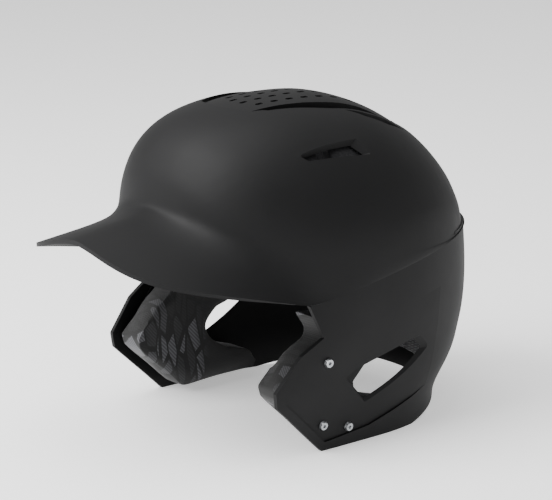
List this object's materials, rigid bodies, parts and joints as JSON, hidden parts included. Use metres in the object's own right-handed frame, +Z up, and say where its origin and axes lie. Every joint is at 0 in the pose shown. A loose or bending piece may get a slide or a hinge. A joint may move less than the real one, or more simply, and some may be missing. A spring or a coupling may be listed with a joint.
{
  "type": "batting helmet",
  "caption": "Batting helmet with a curved brim, ear flaps with ear holes, vented crown, and a liner of foam and fabric pads.",
  "frame": {"origin": "middle of the helmet's bounding box in plan, on the level plane that the two ear flaps stand on", "axes": "+Z up, -Y towards the tip of the brim, +X towards the wearer's left ear"},
  "size_m": [0.215, 0.3156, 0.2304],
  "materials": {
    "shell_plastic": "matte black moulded ABS",
    "plate_plastic": "plain black backing plate",
    "screw_steel": "zinc-plated button-head screws and nuts",
    "ear_pad_fabric": "black pad cloth printed with angular grey shapes",
    "liner_fabric": "grey textured lining cloth",
    "liner_foam": "dark closed-cell foam"
  },
  "bodies": {
    "root": {"crown_shell": "shell_plastic", "lower_shell": "shell_plastic", "brow_pad": "liner_fabric", "left_temple_pad": "liner_fabric", "right_temple_pad": "liner_fabric", "rear_pad": "liner_fabric", "crown_pad": "liner_fabric", "nape_pad": "liner_fabric", "front_foam": "liner_foam", "left_front_foam": "liner_foam", "left_side_foam": "liner_foam", "rear_foam": "liner_foam", "right_side_foam": "liner_foam", "right_front_foam": "liner_foam", "crown_foam": "liner_foam", "left_ear_pad": "ear_pad_fabric", "left_ear_pad_plate": "plate_plastic", "left_ear_pad_screws": "screw_steel", "left_ear_pad_nuts": "screw_steel", "right_ear_pad": "ear_pad_fabric", "right_ear_pad_plate": "plate_plastic", "right_ear_pad_screws": "screw_steel", "right_ear_pad_nuts": "screw_steel"}
  },
  "joints": []
}
